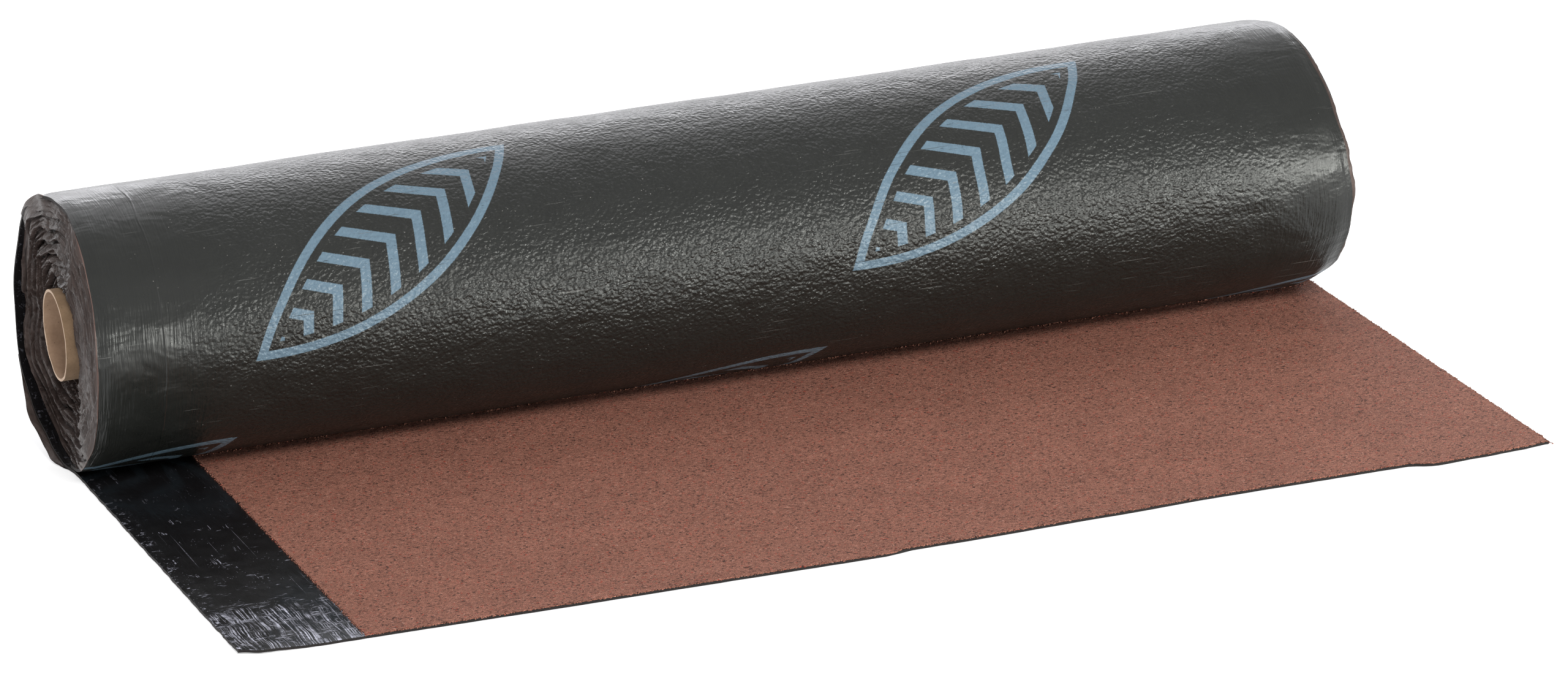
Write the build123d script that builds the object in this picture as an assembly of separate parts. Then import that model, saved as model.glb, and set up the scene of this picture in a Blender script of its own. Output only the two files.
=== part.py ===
from build123d import *
import os

# A roll of mineral-surfaced roofing felt, partly unrolled.
# One bitumen sheet, 1 m wide, is wound on a cardboard tube. Its outer end lies on the floor
# as a tail, runs under the roll, goes up its back, over its top and down its front.
# Lengths are in millimetres. X runs along the roll, Y towards its back, and Z up.
# While it is drawn, the sheet's left edge is at X 0 and the roll stands on the floor at Y 0.

# The sheet
sheet_width = 1000.0
base_thickness = 2.4        # bitumen, carrier and films, as at the bare selvedge
granule_thickness = 0.9     # stone granules bonded to the inner side
selvedge_width = 90.0       # the lap strip along the left edge, which has no granules
tail_length = 490.0         # from under the roll's axis to the cut end

# The winding
turns = 21                  # full turns round the tube
winding_slack = 0.1         # air between one turn and the next

# The cardboard tube
tube_bore = 66.0
tube_wall = 2.0
tube_length = 1000.0
tube_stand_out = 5.0        # how far its left end stands out past the sheet's edge

# The ends, where the turns inside the outer one have slid to the right
second_turn_slide = 5.0
each_next_turn_slide = 0.5

# The tail's end, cut with a knife in three strokes that don't quite meet
# Each point is a share of the sheet's width, and how far past the tail's length it lies
knife_cut = [
    (0.0, -10.0), (0.016, -3.0), (0.064, 0.0), (0.483, 4.5),
    (0.495, -0.5), (0.743, -8.0), (0.886, -8.5),
    (0.908, -0.3), (1.0, -8.5),
]

# Worked out from the values above
sheet_thickness = base_thickness + granule_thickness
pitch = sheet_thickness + winding_slack
tube_radius = tube_bore / 2 + tube_wall
axis_height = tube_radius + (turns + 0.5) * pitch


def turn_arcs(turn, depth):
    """The two arcs of one turn of the winding spiral, at a depth below the sheet's outer face.

    Turn 0 is the outer one. The first arc climbs the roll's back from the floor, and the second
    comes down its front. Their centres are half a pitch apart, so each arc runs on from the one
    before, and the second ends where the next turn begins, a pitch higher.
    """
    back_centre = axis_height - pitch / 4
    front_centre = axis_height + pitch / 4
    back_radius = back_centre - turn * pitch - depth
    front_radius = back_radius - pitch / 2
    bottom = (0, back_centre - back_radius)
    top = (0, back_centre + back_radius)
    next_bottom = (0, front_centre - front_radius)
    climbing = ThreePointArc(bottom, (back_radius, back_centre), top)
    falling = ThreePointArc(top, (-front_radius, front_centre), next_bottom)
    return [climbing, falling]


def turn_section(turn, outer_depth, inner_depth):
    """Cross-section of one turn, between two depths below the sheet's outer face."""
    outer_side = turn_arcs(turn, outer_depth)
    inner_side = turn_arcs(turn, inner_depth)
    begins = Line(outer_side[0] @ 0, inner_side[0] @ 0)
    ends = Line(outer_side[1] @ 1, inner_side[1] @ 1)
    return make_face([*outer_side, *inner_side, begins, ends])


def along_roll(section, x_start, x_end):
    """Extrudes a cross-section, drawn in Y and Z, along the roll."""
    across = Plane(origin=(x_start, 0, 0), x_dir=(0, 1, 0), z_dir=(1, 0, 0))
    return extrude(across * section, x_end - x_start)


def slide_of(turn):
    """How far to the right a turn has slid."""
    return 0.0 if turn == 0 else second_turn_slide + (turn - 1) * each_next_turn_slide


def wound_turn(turn):
    """One turn: the base from edge to edge, and the granules and slack inside it.

    The selvedge has no granules, so it stands clear of the next turn, and that gap shows at the
    left end. At the right end each turn stands a little further out than the one around it.
    """
    left = slide_of(turn)
    right = left + sheet_width
    return [
        along_roll(turn_section(turn, 0, base_thickness), left, right),
        along_roll(turn_section(turn, base_thickness, pitch), left + selvedge_width, right),
    ]


def tail_layer(x_left, height, thickness):
    """A layer of the flat tail, from x_left to the sheet's right edge, up to the knife's cut."""
    cut = [(share * sheet_width, -tail_length - past) for share, past in knife_cut]
    plan = make_face(Polyline((0, 0), *cut, (sheet_width, 0), close=True))
    room = Pos(x_left, 0) * Rectangle(sheet_width, 2 * tail_length, align=(Align.MIN, Align.MAX))
    return extrude(Plane.XY.offset(height) * (plan & room), thickness)


def make_felt_sheet():
    """The sheet: one body of all its turns with the tube's bore through it, and the flat tail."""
    innermost = turns - 1
    pieces = [piece for turn in range(innermost) for piece in wound_turn(turn)]
    pieces.append(tail_layer(0, 0, base_thickness))

    # The innermost turn also fills the step that the sheet's inner end leaves round the tube
    left = slide_of(innermost)
    right = left + sheet_width
    climbing, falling = turn_arcs(innermost, 0)
    filled = make_face([climbing, falling, Line(falling @ 1, climbing @ 0)])
    pieces.append(along_roll(filled, left, right))

    bore = Pos(0, axis_height) * Circle(tube_radius)
    return Part() + pieces - along_roll(bore, left, right)


def make_granule_layer():
    """The stone granules that show on the tail, from the nip to the knife's cut."""
    return tail_layer(selvedge_width, base_thickness, granule_thickness)


def make_core_tube():
    """The cardboard tube, which the sheet's first turn holds tight."""
    ring = Circle(tube_radius) - Circle(tube_bore / 2)
    left = -tube_stand_out
    return along_roll(Pos(0, axis_height) * ring, left, left + tube_length)


os.makedirs("parts", exist_ok=True)
parts = {
    "felt_sheet": make_felt_sheet(),
    "granule_layer": make_granule_layer(),
    "core_tube": make_core_tube(),
}

# The part's origin is on the floor, under the middle of its box
box = parts["felt_sheet"].bounding_box().add(parts["core_tube"].bounding_box())
to_origin = Pos(-box.center().X, -box.center().Y, -box.min.Z)
for name, shape in parts.items():
    export_step(to_origin * shape, f"parts/{name}.step")
print("box", box.size, "moved by", to_origin.position)
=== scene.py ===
# %% [markdown]
# # A roll of mineral-surfaced roofing felt
#
# The object is a sheet of bitumen felt, 1 m wide, wound into a roll round a cardboard tube, with
# its outer end rolled out flat. Its outside is a dark embossed film. The side that shows on the
# tail carries red-brown stone granules, with a bare glossy lap strip along its left edge.
#
# The solid model comes first, as a frame. Everything here is in metres and in its coordinates, so
# a dressed piece goes where the solid one is, and nothing is fitted by eye.

import math
import random

import bmesh
import bpy
from mathutils import Matrix, Vector, noise


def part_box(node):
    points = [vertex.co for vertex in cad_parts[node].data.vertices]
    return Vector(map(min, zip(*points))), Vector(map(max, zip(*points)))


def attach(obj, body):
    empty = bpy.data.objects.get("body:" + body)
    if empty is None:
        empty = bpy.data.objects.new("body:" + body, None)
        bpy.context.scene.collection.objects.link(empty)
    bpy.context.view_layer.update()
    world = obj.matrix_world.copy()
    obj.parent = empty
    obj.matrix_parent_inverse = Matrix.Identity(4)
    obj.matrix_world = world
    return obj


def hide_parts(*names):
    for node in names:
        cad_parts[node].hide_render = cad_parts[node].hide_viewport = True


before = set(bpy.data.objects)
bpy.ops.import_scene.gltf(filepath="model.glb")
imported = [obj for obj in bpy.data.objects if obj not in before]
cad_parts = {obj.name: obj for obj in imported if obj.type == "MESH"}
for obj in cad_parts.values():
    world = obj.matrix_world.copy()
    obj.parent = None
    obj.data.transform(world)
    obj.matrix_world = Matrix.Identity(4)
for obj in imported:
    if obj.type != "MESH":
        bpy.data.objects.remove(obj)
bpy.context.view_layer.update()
felt_low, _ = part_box("felt_sheet")
tube_low, tube_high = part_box("core_tube")

# %% [markdown]
# The camera is set before anything else, because the picture decides how much detail each part
# of the object needs. It is a long lens, almost 7 m away, looking down on the roll from its left.
# Its three axes are written as a matrix, since the picture is also tilted by a few degrees.

# %% Camera
camera_data = bpy.data.cameras.new("camera")
camera_data.sensor_fit = "HORIZONTAL"
camera_data.sensor_width = 36.0
camera_data.lens = 204.76
camera_data.clip_end = 60.0
camera = bpy.data.objects.new("camera", camera_data)
bpy.context.scene.collection.objects.link(camera)
camera_place = (-1.913993, -6.087556, 1.994157)
look = Vector((0.287483, 0.913737, -0.287120)).normalized()
picture_right = Vector((0.946744, -0.316487, -0.059254)).normalized()
picture_up = picture_right.cross(look)
camera_axes = Matrix((picture_right, picture_up, -look)).transposed()
camera.matrix_world = Matrix.Translation(camera_place) @ camera_axes.to_4x4()
bpy.context.scene.camera = camera
print("camera looks along", [round(value, 3) for value in look])

# %% [markdown]
# The studio is a white floor and white surroundings with a few large soft lamps. Dark film has
# almost no colour of its own, so what it shows is what it mirrors: the lamps above and behind
# are the pale sheen along the top, and a long low lamp in front is the broad grey band half way
# down. Stone is matt and mirrors nothing, so it gets a lamp of its own from the front, which
# the film doesn't mirror. A floor that adds a little light of its own for the camera and for
# reflections stays white in the picture and still keeps the object's shadow.

# %% Helpers for the floor and the surroundings
def new_object(name, mesh):
    """An object at the origin, in the scene."""
    made = bpy.data.objects.new(name, mesh)
    bpy.context.scene.collection.objects.link(made)
    return made


def cleared(owner):
    """The nodes and links of a material or a world, with nothing in them yet."""
    owner.use_nodes = True
    owner.node_tree.nodes.clear()
    return owner.node_tree.nodes, owner.node_tree.links


def any_ray(nodes, links, kinds):
    """1 for a ray of any of these kinds, and 0 for the rest."""
    ray = nodes.new("ShaderNodeLightPath")
    seen = ray.outputs[kinds[0]]
    for kind in kinds[1:]:
        larger = nodes.new("ShaderNodeMath")
        larger.operation = "MAXIMUM"
        links.new(seen, larger.inputs[0])
        links.new(ray.outputs[kind], larger.inputs[1])
        seen = larger.outputs[0]
    return seen


# %% Floor
floor_below, floor_white, floor_glow = 0.0004, 0.80, 0.50
floor_mesh = bpy.data.meshes.new("floor")
floor_shape = bmesh.new()
bmesh.ops.create_grid(floor_shape, x_segments=1, y_segments=1, size=20.0)
bmesh.ops.translate(floor_shape, vec=(0, 0, -floor_below), verts=floor_shape.verts)
floor_shape.to_mesh(floor_mesh)
floor_shape.free()
floor = new_object("floor", floor_mesh)

floor_paint = bpy.data.materials.new("floor_paint")
nodes, links = cleared(floor_paint)
matt = nodes.new("ShaderNodeBsdfDiffuse")
matt.inputs["Color"].default_value = (floor_white, floor_white, floor_white, 1)
strength = nodes.new("ShaderNodeMath")
strength.operation = "MULTIPLY"
strength.inputs[1].default_value = floor_glow
glow = nodes.new("ShaderNodeEmission")
together = nodes.new("ShaderNodeAddShader")
links.new(any_ray(nodes, links, ("Is Camera Ray", "Is Glossy Ray")), strength.inputs[0])
links.new(strength.outputs[0], glow.inputs["Strength"])
links.new(matt.outputs[0], together.inputs[0])
links.new(glow.outputs[0], together.inputs[1])
links.new(together.outputs[0], nodes.new("ShaderNodeOutputMaterial").inputs["Surface"])
floor_mesh.materials.append(floor_paint)
print("floor at", floor_mesh.vertices[0].co.z)

# %% Surroundings
world = bpy.data.worlds.new("studio")
bpy.context.scene.world = world
nodes, links = cleared(world)
soft = nodes.new("ShaderNodeBackground")
soft.inputs["Strength"].default_value = 0.50
white = nodes.new("ShaderNodeBackground")
white.inputs["Strength"].default_value = 1.0
choice = nodes.new("ShaderNodeMixShader")
looked_at = any_ray(nodes, links, ("Is Camera Ray", "Is Glossy Ray", "Is Transmission Ray"))
links.new(looked_at, choice.inputs[0])
links.new(soft.outputs[0], choice.inputs[1])
links.new(white.outputs[0], choice.inputs[2])
links.new(choice.outputs[0], nodes.new("ShaderNodeOutputWorld").inputs["Surface"])
print("surroundings", soft.inputs["Strength"].default_value)


# %% Lamps
def soft_lamp(name, place, aim, width, height, brightness, tint=(1, 1, 1)):
    """A rectangular lamp of a given brightness, where 1 is as bright as a white wall."""
    data = bpy.data.lights.new(name, "AREA")
    data.shape = "RECTANGLE"
    data.size, data.size_y = width, height
    data.energy = brightness * math.pi * width * height
    data.color = tint
    lamp = bpy.data.objects.new(name, data)
    lamp.location = place
    lamp.rotation_euler = (Vector(aim) - Vector(place)).to_track_quat("-Z", "Y").to_euler()
    lamp.visible_camera = False
    bpy.context.scene.collection.objects.link(lamp)
    print(name, round(data.energy, 1), "W")
    return lamp


cool, olive = (0.96, 0.96, 1.0), (0.98, 1.0, 0.94)
soft_lamp("lamp_above", (0.1, 2.1, 2.7), (0.0, 0.1, 0.1), 3.2, 2.0, 1.15, cool)
soft_lamp("lamp_back", (0.5, 3.2, 1.3), (0.0, 0.2, 0.15), 4.2, 1.0, 3.8, cool)
soft_lamp("lamp_horizon", (0.6, 3.4, 0.42), (0.0, 0.2, 0.15), 5.0, 0.8, 0.6, cool)
soft_lamp("lamp_front", (1.05, -1.6, 0.10), (0.45, 0.1, 0.10), 1.9, 0.18, 32.0, olive)
soft_lamp("lamp_left", (-2.6, -1.3, 1.0), (-0.5, 0.15, 0.1), 1.6, 1.4, 1.6)
fill_lamp = soft_lamp("lamp_fill", (0.4, -4.4, 3.8), (0.0, 0.0, 0.0), 3.6, 2.2, 13.2)
fill_lamp.visible_glossy = False

bpy.context.scene.view_settings.view_transform = "Standard"

# %% [markdown]
# All the finishes are mixed from noise, cells and simple sums, so a small helper keeps each
# recipe short. It adds one node at a time and hands its output back, and a value can be a
# number or the output of another node.
#
# The patterns are laid out in metres. So the scale of a cloud is the number of its lumps in a
# metre: 400 gives lumps of 2.5 mm. A cloud with unlike scales two ways is drawn out into strokes.
# The limits of a fade pick how much of a cloud, which is mostly between 0.3 and 0.7, comes through.

# %% Material recipes
class Recipe:
    """One material, with a short name for each kind of node."""

    def __init__(self, name):
        self.material = bpy.data.materials.new(name)
        self.material.use_nodes = True
        self.tree = self.material.node_tree
        self.shader = self.tree.nodes["Principled BSDF"]

    def add(self, kind, values, **settings):
        node = self.tree.nodes.new(kind)
        for key, value in settings.items():
            setattr(node, key, value)
        for key, value in values.items():
            self.feed(node.inputs[key], value)
        return node

    def feed(self, socket, value):
        """Another node's output is linked to the socket, and a number is written on it."""
        if isinstance(value, bpy.types.NodeSocket):
            self.tree.links.new(value, socket)
        elif value is not None:
            socket.default_value = value

    def sum(self, operation, a, b=None, c=None):
        return self.add("ShaderNodeMath", {0: a, 1: b, 2: c}, operation=operation).outputs[0]

    def plus(self, a, b):
        return self.sum("ADD", a, b)

    def minus(self, a, b):
        return self.sum("SUBTRACT", a, b)

    def times(self, a, b):
        return self.sum("MULTIPLY", a, b)

    def either(self, a, b):
        return self.sum("MAXIMUM", a, b)

    def both(self, a, b):
        return self.sum("MINIMUM", a, b)

    def apart(self, a, b):
        return self.sum("ABSOLUTE", self.minus(a, b))

    def fade(self, value, start, end, low=0.0, high=1.0):
        """low up to start, high past end, and smooth in between."""
        values = {"Value": value, "From Min": start, "From Max": end, "To Min": low, "To Max": high}
        return self.add("ShaderNodeMapRange", values, interpolation_type="SMOOTHSTEP").outputs[0]

    def fade_out(self, value, start, end):
        return self.fade(value, start, end, 1.0, 0.0)

    def blend(self, factor, first, second):
        """From the first colour to the second. A colour is three numbers or a node's output."""
        node = self.add("ShaderNodeMix", {0: factor}, data_type="RGBA")
        for socket, colour in ((node.inputs[6], first), (node.inputs[7], second)):
            self.feed(socket, (*colour, 1) if isinstance(colour, tuple) else colour)
        return node.outputs[2]

    def place(self):
        return self.add("ShaderNodeTexCoord", {}).outputs["Object"]

    def stored(self, name):
        """The three numbers that a mesh keeps at each of its points under this name."""
        return self.add("ShaderNodeAttribute", {}, attribute_name=name).outputs["Vector"]

    def parts(self, vector):
        return self.add("ShaderNodeSeparateXYZ", {0: vector}).outputs

    def point(self, x, y, z=0.0):
        return self.add("ShaderNodeCombineXYZ", {0: x, 1: y, 2: z}).outputs[0]

    def turned(self, vector, degrees, scale):
        values = {"Vector": vector, "Rotation": (0, 0, math.radians(degrees)), "Scale": scale}
        return self.add("ShaderNodeMapping", values).outputs[0]

    def cloud(self, vector, scale, detail=2.0, roughness=0.5, distortion=0.0):
        values = {"Vector": vector, "Scale": scale, "Detail": detail, "Roughness": roughness,
                  "Distortion": distortion}
        return self.add("ShaderNodeTexNoise", values).outputs["Fac"]

    def strokes(self, vector, degrees, scales, *more):
        """A cloud with a scale for each way, which is turned first."""
        return self.cloud(self.turned(vector, degrees, scales), 1.0, *more)

    def wobble(self, vector, scale, detail, amount):
        """A cloud about zero, to bend a line with."""
        return self.times(self.minus(self.cloud(vector, scale, detail), 0.5), amount)

    def cells(self, vector, scale, feature="F1"):
        return self.add("ShaderNodeTexVoronoi", {"Vector": vector, "Scale": scale}, feature=feature).outputs

    def flecks(self, vector, scale, sizes, patches, limits):
        """Round specks, one to a cell, only where a coarser cloud is high."""
        spots = self.fade_out(self.cells(vector, scale)["Distance"], *sizes)
        return self.times(spots, self.fade(patches, *limits))

    def relief(self, height, depth, under=None):
        """The surface normal of a relief of that depth in metres."""
        values = {"Height": height, "Distance": depth, "Strength": 1.0, "Normal": under}
        return self.add("ShaderNodeBump", values).outputs[0]

    def finish(self, colour, roughness, normal, specular=0.5):
        self.feed(self.shader.inputs["Base Color"], colour)
        self.feed(self.shader.inputs["Roughness"], roughness)
        self.feed(self.shader.inputs["Normal"], normal)
        self.shader.inputs["Specular IOR Level"].default_value = specular
        print("material", self.material.name, "with", len(self.tree.nodes), "nodes")
        return self.material


# %% [markdown]
# The outer film is charcoal polyethylene pressed onto the bitumen. Over most of the roll it has
# a fine pebbled emboss, two or three millimetres across. Towards both ends it is drawn into fine
# streaks round the roll. The recipe reads numbers kept on the sheet's own points: how far across
# the sheet a point is, and how far along it. Both are in metres, so the pattern keeps its size
# all the way round the winding.
#
# The film is printed in blue-grey, with plain leaves that have slanted veins. A leaf is where two
# large discs overlap, so its outline and its veins are sums of distances and need no picture.

# %% Outer film
def outer_film():
    film = Recipe("outer_film")
    sheet = film.stored("sheet")
    across, along, _ = film.parts(sheet)

    # streaks near the ends, pebbles in the middle
    streaky = film.either(film.fade_out(across, 0.035, 0.15), film.fade(across, 0.86, 0.985, 0.0, 0.8))
    streaky = film.plus(streaky, film.fade(film.cloud(sheet, 9.0, 3.0), 0.52, 0.70, 0.0, 0.35))
    streaky = film.both(1.0, streaky)
    streaks = film.times(film.strokes(sheet, 3.0, (620.0, 45.0, 1.0), 2.0, 0.5, 0.25), 0.5)
    pebbles = film.strokes(sheet, 8.0, (390.0, 430.0, 1.0), 2.0, 0.55, 0.6)
    domes = film.cells(film.turned(sheet, -5.0, (370.0, 410.0, 1.0)), 1.0, "SMOOTH_F1")["Distance"]
    pebbles = film.plus(film.times(pebbles, 0.65), film.fade(domes, 0.15, 0.75, 0.42, 0.0))
    emboss = film.plus(film.times(pebbles, film.minus(1.0, streaky)), film.times(streaks, streaky))

    # under the emboss are slow waves, and a crease runs round the roll near its left end
    crease_place = film.plus(0.047, film.times(film.cloud(sheet, 14.0), 0.008))
    crease = film.fade_out(film.apart(across, crease_place), 0.0, 0.0013)
    normal = film.relief(film.strokes(sheet, -4.0, (22.0, 34.0, 1.0), 3.0, 0.55, 0.4), 0.0022)
    normal = film.relief(emboss, 0.0010, normal)
    normal = film.relief(crease, 0.0004, normal)

    # scratches: thin lines at three slants, broken up by a coarse cloud
    lines = 0.0
    for degrees, start, seed in ((16.0, 0.735, 0.0), (-38.0, 0.745, 3.7), (84.0, 0.74, 8.1)):
        shifted = film.point(film.plus(across, seed), along, seed)
        thin = film.strokes(shifted, degrees, (16.0, 900.0, 1.0), 1.0)
        lines = film.either(lines, film.fade(thin, start, start + 0.03))
    scratched = film.times(lines, film.fade(film.cloud(sheet, 11.0, 2.0), 0.45, 0.62))
    specks = film.flecks(sheet, 240.0, (0.05, 0.11), film.cloud(sheet, 30.0, 1.0), (0.56, 0.62))

    tone = film.cloud(sheet, 60.0, 4.0, 0.6)
    charcoal = film.blend(tone, (0.0072, 0.0078, 0.0070), (0.0126, 0.0134, 0.0122))
    charcoal = film.blend(film.times(scratched, 0.65), charcoal, (0.13, 0.13, 0.125))
    charcoal = film.blend(film.times(specks, 0.8), charcoal, (0.22, 0.21, 0.20))
    ink_tone = film.cloud(sheet, 170.0, 4.0, 0.7)
    ink = film.blend(ink_tone, (0.064, 0.105, 0.143), (0.118, 0.175, 0.220))
    colour = film.blend(leaf_print(film, across, along, lines), charcoal, ink)
    roughness = film.fade(film.cloud(sheet, 42.0, 4.0, 0.6), 0.30, 0.72, 0.26, 0.37)
    return film.finish(colour, roughness, normal, 0.40)


def leaf_print(film, across, along, scratches):
    """1 where the film is printed: long leaves with slanted veins, in staggered rows."""
    row_height, step, first_row, first_column = 0.232, 0.47, 0.812, 0.235
    half_length, half_height, tilt = 0.138, 0.046, math.radians(34.0)
    outline_width, vein_width, vein_step, vein_gap = 0.0068, 0.0080, 0.0290, 0.0130
    vein_slant, slant_cosine = 0.8, 0.78
    print_end, ragged_by, soft_by = 1.164, 0.0008, 0.0003

    row = film.sum("FLOOR", film.times(film.minus(along, first_row), 1 / row_height))
    slid = film.plus(film.minus(across, first_column - step / 2), film.times(row, step / 2))
    x = film.minus(film.sum("WRAP", slid, step, 0.0), step / 2)
    y = film.minus(film.minus(along, first_row + row_height / 2), film.times(row, row_height))
    turned_x = film.minus(film.times(x, math.cos(tilt)), film.times(y, math.sin(tilt)))
    turned_y = film.plus(film.times(y, math.cos(tilt)), film.times(x, math.sin(tilt)))

    # edge is the distance past the leaf's outline, and is negative on the leaf
    disc = (half_length ** 2 + half_height ** 2) / (2 * half_height)
    side = film.sum("ABSOLUTE", turned_y)
    lowered = film.plus(side, disc - half_height)
    reach = film.sum("SQRT", film.plus(film.times(turned_x, turned_x), film.times(lowered, lowered)))
    edge = film.minus(reach, disc)
    outline = film.minus(film.apart(edge, -outline_width / 2), outline_width / 2)
    slanted = film.plus(film.plus(turned_x, film.times(side, vein_slant)), 1.0)
    vein = film.apart(film.sum("WRAP", slanted, vein_step, 0.0), vein_step / 2)
    vein = film.minus(film.times(vein, slant_cosine), vein_width / 2)
    vein = film.either(vein, film.plus(edge, vein_gap))

    flat = film.point(across, along)
    stroke = film.plus(film.both(outline, vein), film.wobble(flat, 900.0, 1.0, ragged_by))
    inked = film.fade_out(stroke, -soft_by, soft_by)
    inked = film.times(inked, film.fade_out(along, print_end - 0.004, print_end))
    worn = film.fade(film.strokes(flat, 12.0, (70.0, 620.0, 1.0), 3.0, 0.7), 0.655, 0.70)
    return film.times(inked, film.minus(1.0, film.either(film.times(scratches, 0.8), worn)))


outer_film_finish = outer_film()


# %% [markdown]
# The lap strip is bare film too, but glossy and much handled. It has long scratches along the
# tail, and cloudy white scuffs that cross each other near its front end. The cut edges show the
# bitumen itself, black and dull.

# %% Lap strip
def lap_film():
    film = Recipe("lap_film")
    sheet = film.stored("sheet")
    across, along, _ = film.parts(sheet)
    wobble = film.wobble(sheet, 30.0, 2.0, 0.006)
    bent = film.point(film.plus(across, wobble), film.plus(along, wobble))
    reach = film.plus(along, film.wobble(sheet, 24.0, 3.0, 0.08))
    near_cut, handling = film.fade_out(reach, 0.080, 0.120), film.fade_out(reach, 0.10, 0.24)

    def at_cut(far, near):
        """One value far from the cut, and another near it."""
        return film.fade(near_cut, 0.0, 1.0, far, near)

    # fine lines three ways, each broken into patches, and a few that are long and straight
    patches = film.strokes(sheet, 20.0, (48.0, 30.0, 1.0), 4.0, 0.62)
    other_patches = film.cloud(film.point(film.plus(across, 3.1), along), 60.0, 4.0, 0.62)
    long_noise = film.strokes(bent, 1.5, (760.0, 13.0, 1.0), 3.0, 0.65)
    long_lines = film.fade(long_noise, at_cut(0.57, 0.505), at_cut(0.64, 0.585))
    long_marks = film.times(long_lines, film.fade(patches, at_cut(0.60, 0.34), 0.62))
    cross_lines = film.fade(film.strokes(bent, 5.0, (95.0, 420.0, 1.0), 3.0, 0.65, 0.5), 0.54, 0.64)
    cross_start = film.fade(handling, 0.0, 1.0, 0.62, 0.49)
    cross_marks = film.times(film.times(cross_lines, film.fade(other_patches, cross_start, 0.66)), 0.75)
    slant_lines = film.fade(film.strokes(bent, 24.0, (60.0, 560.0, 1.0), 3.0, 0.65), 0.56, 0.66)
    slant_marks = film.times(film.times(slant_lines, film.fade(other_patches, 0.48, 0.60)), near_cut)
    straight = film.fade(film.strokes(sheet, 0.8, (520.0, 5.0, 1.0), 2.0), 0.69, 0.73, 0.0, 0.30)
    marks = film.either(film.either(long_marks, cross_marks), film.either(slant_marks, straight))

    # small specks, and an edge that is worn from handling; all marks are fainter near the roll
    dots = film.flecks(sheet, 420.0, (0.08, 0.16), film.cloud(sheet, 70.0, 1.0), (0.56, 0.60))
    worn = film.fade(film.cloud(sheet, 210.0, 4.0, 0.7), 0.58, 0.64)
    worn = film.times(worn, film.fade_out(across, 0.003, 0.014))
    marks = film.either(marks, film.either(film.times(dots, 0.9), worn))
    marks = film.times(marks, film.fade(film.cloud(sheet, 260.0, 2.0), 0.34, 0.56, 0.45, 1.0))
    marks = film.times(marks, at_cut(0.55, 1.0))
    marks = film.times(marks, film.fade(along, 0.20, 0.50, 1.0, 0.20))

    black = film.blend(film.cloud(sheet, 90.0, 3.0), (0.0045, 0.0042, 0.0045), (0.008, 0.0076, 0.0085))
    colour = film.blend(marks, black, (0.50, 0.505, 0.60))
    roughness = film.fade(film.cloud(sheet, 50.0, 3.0), 0.3, 0.7, 0.16, 0.27)
    roughness = film.plus(roughness, film.times(marks, 0.25))
    normal = film.relief(film.strokes(sheet, 5.0, (120.0, 22.0, 1.0), 3.0, 0.55), 0.0006)
    normal = film.relief(marks, 0.00010, normal)
    return film.finish(colour, roughness, normal, 0.30)


lap_film_finish = lap_film()


# %% Cut edge
def cut_bitumen():
    bitumen = Recipe("cut_bitumen")
    place = bitumen.place()
    drag = bitumen.strokes(place, 0.0, (500.0, 500.0, 900.0), 4.0, 0.65)
    crumbs = bitumen.flecks(place, 700.0, (0.10, 0.2), bitumen.cloud(place, 120.0), (0.55, 0.65))
    colour = bitumen.blend(drag, (0.005, 0.004, 0.004), (0.017, 0.013, 0.012))
    colour = bitumen.blend(bitumen.times(crumbs, 0.4), colour, (0.20, 0.16, 0.14))
    roughness = bitumen.fade(drag, 0.3, 0.7, 0.55, 0.75)
    return bitumen.finish(colour, roughness, bitumen.relief(drag, 0.0005), 0.2)


cut_bitumen_finish = cut_bitumen()

# %% [markdown]
# The winding is drawn the way it is made on a real roll: the sheet never leaves itself, so each
# turn climbs up its back about one centre and comes down its front about a slightly higher one.
# Half circles that meet at the top and bottom give a smooth spiral. These are the same arcs that
# the solid model has, and the sheet's place comes from that model's boxes.
#
# A place in the winding is given as a share of a turn: 0 at the nip, where the roll stands on its
# own tail, then a quarter at the back, a half at the top and three quarters at the front.

# %% The winding's measures
sheet_width = 1.0
base_thickness = 0.0024
granule_thickness = 0.0009
pitch = 0.0034
turns = 21
lap_width = 0.090
tail_length = 0.490
full_turn = 2 * math.pi
left_edge = felt_low.x
axis_y = (tube_low.y + tube_high.y) / 2
axis_z = (tube_low.z + tube_high.z) / 2
cut_y = axis_y - tail_length
back_centre = Vector((0, axis_y, axis_z - pitch / 4))
front_centre = Vector((0, axis_y, axis_z + pitch / 4))
back_radius = back_centre.z
front_radius = 2 * back_radius - front_centre.z
back, front = (back_centre, back_radius), (front_centre, front_radius)
print("outer turn radii", round(back_radius, 5), round(front_radius, 5))


# %% Helpers for places and shapes
def smooth(value, start, end):
    """0 before start, 1 after end, and smooth in between."""
    share = min(1.0, max(0.0, (value - start) / (end - start)))
    return share * share * (3 - 2 * share)


def through(knots, value):
    """A smooth line through a few (place, height) pairs."""
    if value <= knots[0][0]:
        return knots[0][1]
    for (start, low), (end, high) in zip(knots, knots[1:]):
        if value <= end:
            return low + (high - low) * smooth(value, start, end)
    return knots[-1][1]


def lumpy(x, y, z=0.0):
    """Smooth noise between about -1 and 1, with lumps one unit wide."""
    return noise.noise(Vector((x, y, z)))


def wound(point):
    """Where a point lies in the winding: its share of a turn, and its depth under the outer face."""
    centre, radius = back if point.y >= axis_y else front
    y, z = point.y - centre.y, point.z - centre.z
    angle = math.degrees(math.atan2(z, y)) + 90.0
    return (angle % 360.0) / 360.0, radius - math.hypot(y, z)


# %% [markdown]
# The outer turn and the tail are one strip. Its cut face is a thin grid, 1 m by 2.4 mm, and three
# spins carry that face along: one with no angle for the flat tail, one half circle for the back
# and one for the front. Spinning a face, not a line, gives a closed slab with both of its sides.
# The grid is closer together near the two edges of the sheet, where the shape has most to say.

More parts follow.
